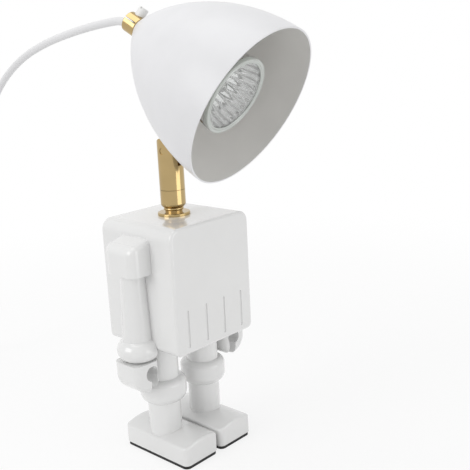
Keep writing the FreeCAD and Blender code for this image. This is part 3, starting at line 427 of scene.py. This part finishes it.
def make_rim():
    """The thick double ring of glass round the bowl's mouth."""
    rim = [
        (0.0216, LAMP_FRONT + 0.0005),
        (0.0219, LAMP_FRONT + 0.0001),
        (0.0223, LAMP_FRONT),
        (0.0227, LAMP_FRONT + 0.0001),
        (0.0230, LAMP_FRONT + 0.0004),
        (0.0239, LAMP_FRONT + 0.0004),
        (0.0242, LAMP_FRONT + 0.0001),
        (0.0246, LAMP_FRONT),
        (0.0249, LAMP_FRONT + 0.0003),
        (LAMP_RADIUS, LAMP_FRONT + 0.0008),
        (LAMP_RADIUS, RIM_BACK - 0.0006),
        (0.0241, RIM_BACK - 0.0006),
        (0.0240, LAMP_FRONT + 0.00055),
    ]
    dress_lamp_piece("lamp_rim", rim, 96, "bulb_reflector", rim_glass, closed=True)


def make_capsule():
    """The burner's glass capsule on its bed of cement."""
    back = LAMP_NECK
    capsule = [
        (0.0002, back - 0.0185),
        (0.0016, back - 0.0180),
        (0.0030, back - 0.0168),
        (0.0037, back - 0.0150),
        (0.0038, back - 0.0090),
        (0.0034, back - 0.0072),
        (0.0028, back - 0.0060),
        (0.0028, back),
    ]
    dress_lamp_piece("lamp_capsule", capsule, 32, "bulb_burner", front_glass)
    seat = [
        (0.0001, back - 0.0060),
        (0.0068, back - 0.0056),
        (0.0072, back - 0.0048),
        (0.0072, back),
    ]
    dress_lamp_piece("lamp_cement", seat, 48, "bulb_burner", ceramic)


def make_filament():
    """The coiled wire across the middle of the capsule."""
    line = []
    steps = FILAMENT_TURNS * FILAMENT_STEPS
    for step in range(steps + 1):
        share = step / steps
        angle = share * 2 * math.pi * FILAMENT_TURNS
        along = FILAMENT_LENGTH * (share - 0.5)
        out = FILAMENT_LOOP * math.cos(angle)
        height = LAMP_NECK - FILAMENT_DEPTH + FILAMENT_LOOP * math.sin(angle)
        line.append(SHADE_FRAME @ Vector((along, out, height)))
    filament = tube("lamp_filament", line, FILAMENT_WIRE, FILAMENT_STEPS)
    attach(filament, "head")
    paint(filament, steel)


make_bowl()
make_rim()
make_capsule()
make_filament()

INSIDE_TINT = (1.013, 1.0, 0.95, 1)
INSIDE_DULLER = 0.447
WALL_DEPTH = 0.0008
RIM_EDGE = 0.0001


def dull_shade_inside():
    """The shade's inner wall gets a warmer tint and a rougher surface than its outside."""
    tree = shade_white.node_tree
    shader = tree.nodes["Principled BSDF"]

    def math_node(operation, first, second=None, third=None):
        node = tree.nodes.new("ShaderNodeMath")
        node.operation = operation
        for socket, value in zip(node.inputs, (first, second, third)):
            if isinstance(value, bpy.types.NodeSocket):
                tree.links.new(value, socket)
            elif value is not None:
                socket.default_value = value
        return node.outputs["Value"]

    back = SHADE_FRAME.inverted()
    place = tree.nodes.new("ShaderNodeTexCoord")
    local = tree.nodes.new("ShaderNodeMapping")
    local.inputs["Location"].default_value = back.to_translation()
    local.inputs["Rotation"].default_value = back.to_euler()
    tree.links.new(place.outputs["Object"], local.inputs["Vector"])
    axes = tree.nodes.new("ShaderNodeSeparateXYZ")
    tree.links.new(local.outputs["Vector"], axes.inputs["Vector"])
    across = math_node("MULTIPLY", axes.outputs["X"], axes.outputs["X"])
    radius = math_node("SQRT", math_node("MULTIPLY_ADD", axes.outputs["Y"], axes.outputs["Y"], across))
    reach = math_node("ADD", radius, BELL_RADIUS - MOUTH_RADIUS)
    depth = math_node("MULTIPLY", axes.outputs["Z"], axes.outputs["Z"])
    wall = math_node("SQRT", math_node("MULTIPLY_ADD", reach, reach, depth))
    within = math_node("LESS_THAN", wall, BELL_RADIUS - WALL_DEPTH)
    inner = math_node("MULTIPLY", within, math_node("GREATER_THAN", axes.outputs["Z"], RIM_EDGE))
    tint = tree.nodes.new("ShaderNodeMix")
    tint.data_type = "RGBA"
    tint.blend_type = "MULTIPLY"
    factor, base, tinted = tint.inputs[0], tint.inputs[6], tint.inputs[7]
    colour = shader.inputs["Base Color"].links[0].from_socket
    tree.links.new(inner, factor)
    tree.links.new(colour, base)
    tinted.default_value = INSIDE_TINT
    tree.links.new(tint.outputs[2], shader.inputs["Base Color"])
    polish = shader.inputs["Roughness"].links[0].from_socket
    duller = math_node("MULTIPLY_ADD", inner, INSIDE_DULLER, 1.0)
    tree.links.new(math_node("MULTIPLY", polish, duller), shader.inputs["Roughness"])


dull_shade_inside()


# Floor, backdrop and lights

FLOOR_SIZE = 3.0
FLOOR_DROP = 0.0002
FLOOR_WHITE = 0.8
FADE_START = 0.12
FADE_END = 0.75
SKY_STRENGTH = 0.6
corners = [(x * FLOOR_SIZE, y * FLOOR_SIZE, 0) for x, y in ((-1, -1), (1, -1), (1, 1), (-1, 1))]
floor = new_mesh_object("floor", corners, [(0, 1, 2, 3)])
floor.location.z = -FLOOR_DROP


def background_rays(tree):
    """1 for the rays that show the background: the camera's, and those metal and glass send on."""
    path = tree.nodes.new("ShaderNodeLightPath")
    total = path.outputs["Is Camera Ray"]
    for kind in ("Is Glossy Ray", "Is Transmission Ray"):
        larger = tree.nodes.new("ShaderNodeMath")
        larger.operation = "MAXIMUM"
        tree.links.new(total, larger.inputs[0])
        tree.links.new(path.outputs[kind], larger.inputs[1])
        total = larger.outputs["Value"]
    return total


def floor_material():
    """Pale matt floor near the lamp that fades into the white backdrop."""
    material = bpy.data.materials.new("floor_pale")
    material.use_nodes = True
    tree = material.node_tree
    tree.nodes.clear()
    out = tree.nodes.new("ShaderNodeOutputMaterial")
    matt = tree.nodes.new("ShaderNodeBsdfDiffuse")
    matt.inputs["Color"].default_value = (0.92, 0.92, 0.92, 1)
    clear = tree.nodes.new("ShaderNodeBsdfTransparent")
    mix = tree.nodes.new("ShaderNodeMixShader")
    place = tree.nodes.new("ShaderNodeTexCoord")
    distance = tree.nodes.new("ShaderNodeVectorMath")
    distance.operation = "LENGTH"
    fade = tree.nodes.new("ShaderNodeMapRange")
    fade.interpolation_type = "SMOOTHSTEP"
    fade.inputs["From Min"].default_value = FADE_START
    fade.inputs["From Max"].default_value = FADE_END
    tree.links.new(place.outputs["Object"], distance.inputs[0])
    tree.links.new(distance.outputs["Value"], fade.inputs["Value"])
    tree.links.new(fade.outputs["Result"], mix.inputs["Fac"])
    white = tree.nodes.new("ShaderNodeEmission")
    paler = tree.nodes.new("ShaderNodeMath")
    paler.operation = "MULTIPLY"
    paler.inputs[1].default_value = FLOOR_WHITE
    tree.links.new(background_rays(tree), paler.inputs[0])
    pale = tree.nodes.new("ShaderNodeMixShader")
    tree.links.new(paler.outputs["Value"], pale.inputs["Fac"])
    tree.links.new(matt.outputs["BSDF"], pale.inputs[1])
    tree.links.new(white.outputs["Emission"], pale.inputs[2])
    tree.links.new(pale.outputs["Shader"], mix.inputs[1])
    tree.links.new(clear.outputs["BSDF"], mix.inputs[2])
    tree.links.new(mix.outputs["Shader"], out.inputs["Surface"])
    return material


floor.data.materials.append(floor_material())
floor.data.materials[0].cycles.emission_sampling = "NONE"


def backdrop():
    """White where it is seen, straight or in metal and glass; a weaker white as light on the lamp."""
    world = bpy.data.worlds.new("backdrop")
    scene.world = world
    world.use_nodes = True
    tree = world.node_tree
    tree.nodes.clear()
    out = tree.nodes.new("ShaderNodeOutputWorld")
    mix = tree.nodes.new("ShaderNodeMixShader")
    for socket, strength in ((mix.inputs[1], SKY_STRENGTH), (mix.inputs[2], 1.0)):
        node = tree.nodes.new("ShaderNodeBackground")
        node.inputs["Color"].default_value = (1, 1, 1, 1)
        node.inputs["Strength"].default_value = strength
        tree.links.new(node.outputs["Background"], socket)
    tree.links.new(background_rays(tree), mix.inputs["Fac"])
    tree.links.new(mix.outputs["Shader"], out.inputs["Surface"])


backdrop()


MIDDLE = Vector((0, 0, 0.15))


def soft_light(name, place, size, power):
    """A square soft light that faces the middle of the lamp."""
    lamp = bpy.data.lights.new(name, "AREA")
    lamp.size = size
    lamp.energy = power
    thing = bpy.data.objects.new(name, lamp)
    scene.collection.objects.link(thing)
    thing.location = place
    thing.rotation_euler = (MIDDLE - Vector(place)).to_track_quat("-Z", "Y").to_euler()


soft_light("key", (-1.2, 0.25, 0.75), 0.8, 5.5)
soft_light("top", (-0.1, 0.1, 1.4), 0.9, 4)
soft_light("fill", (0.35, -1.2, 0.15), 0.9, 4)
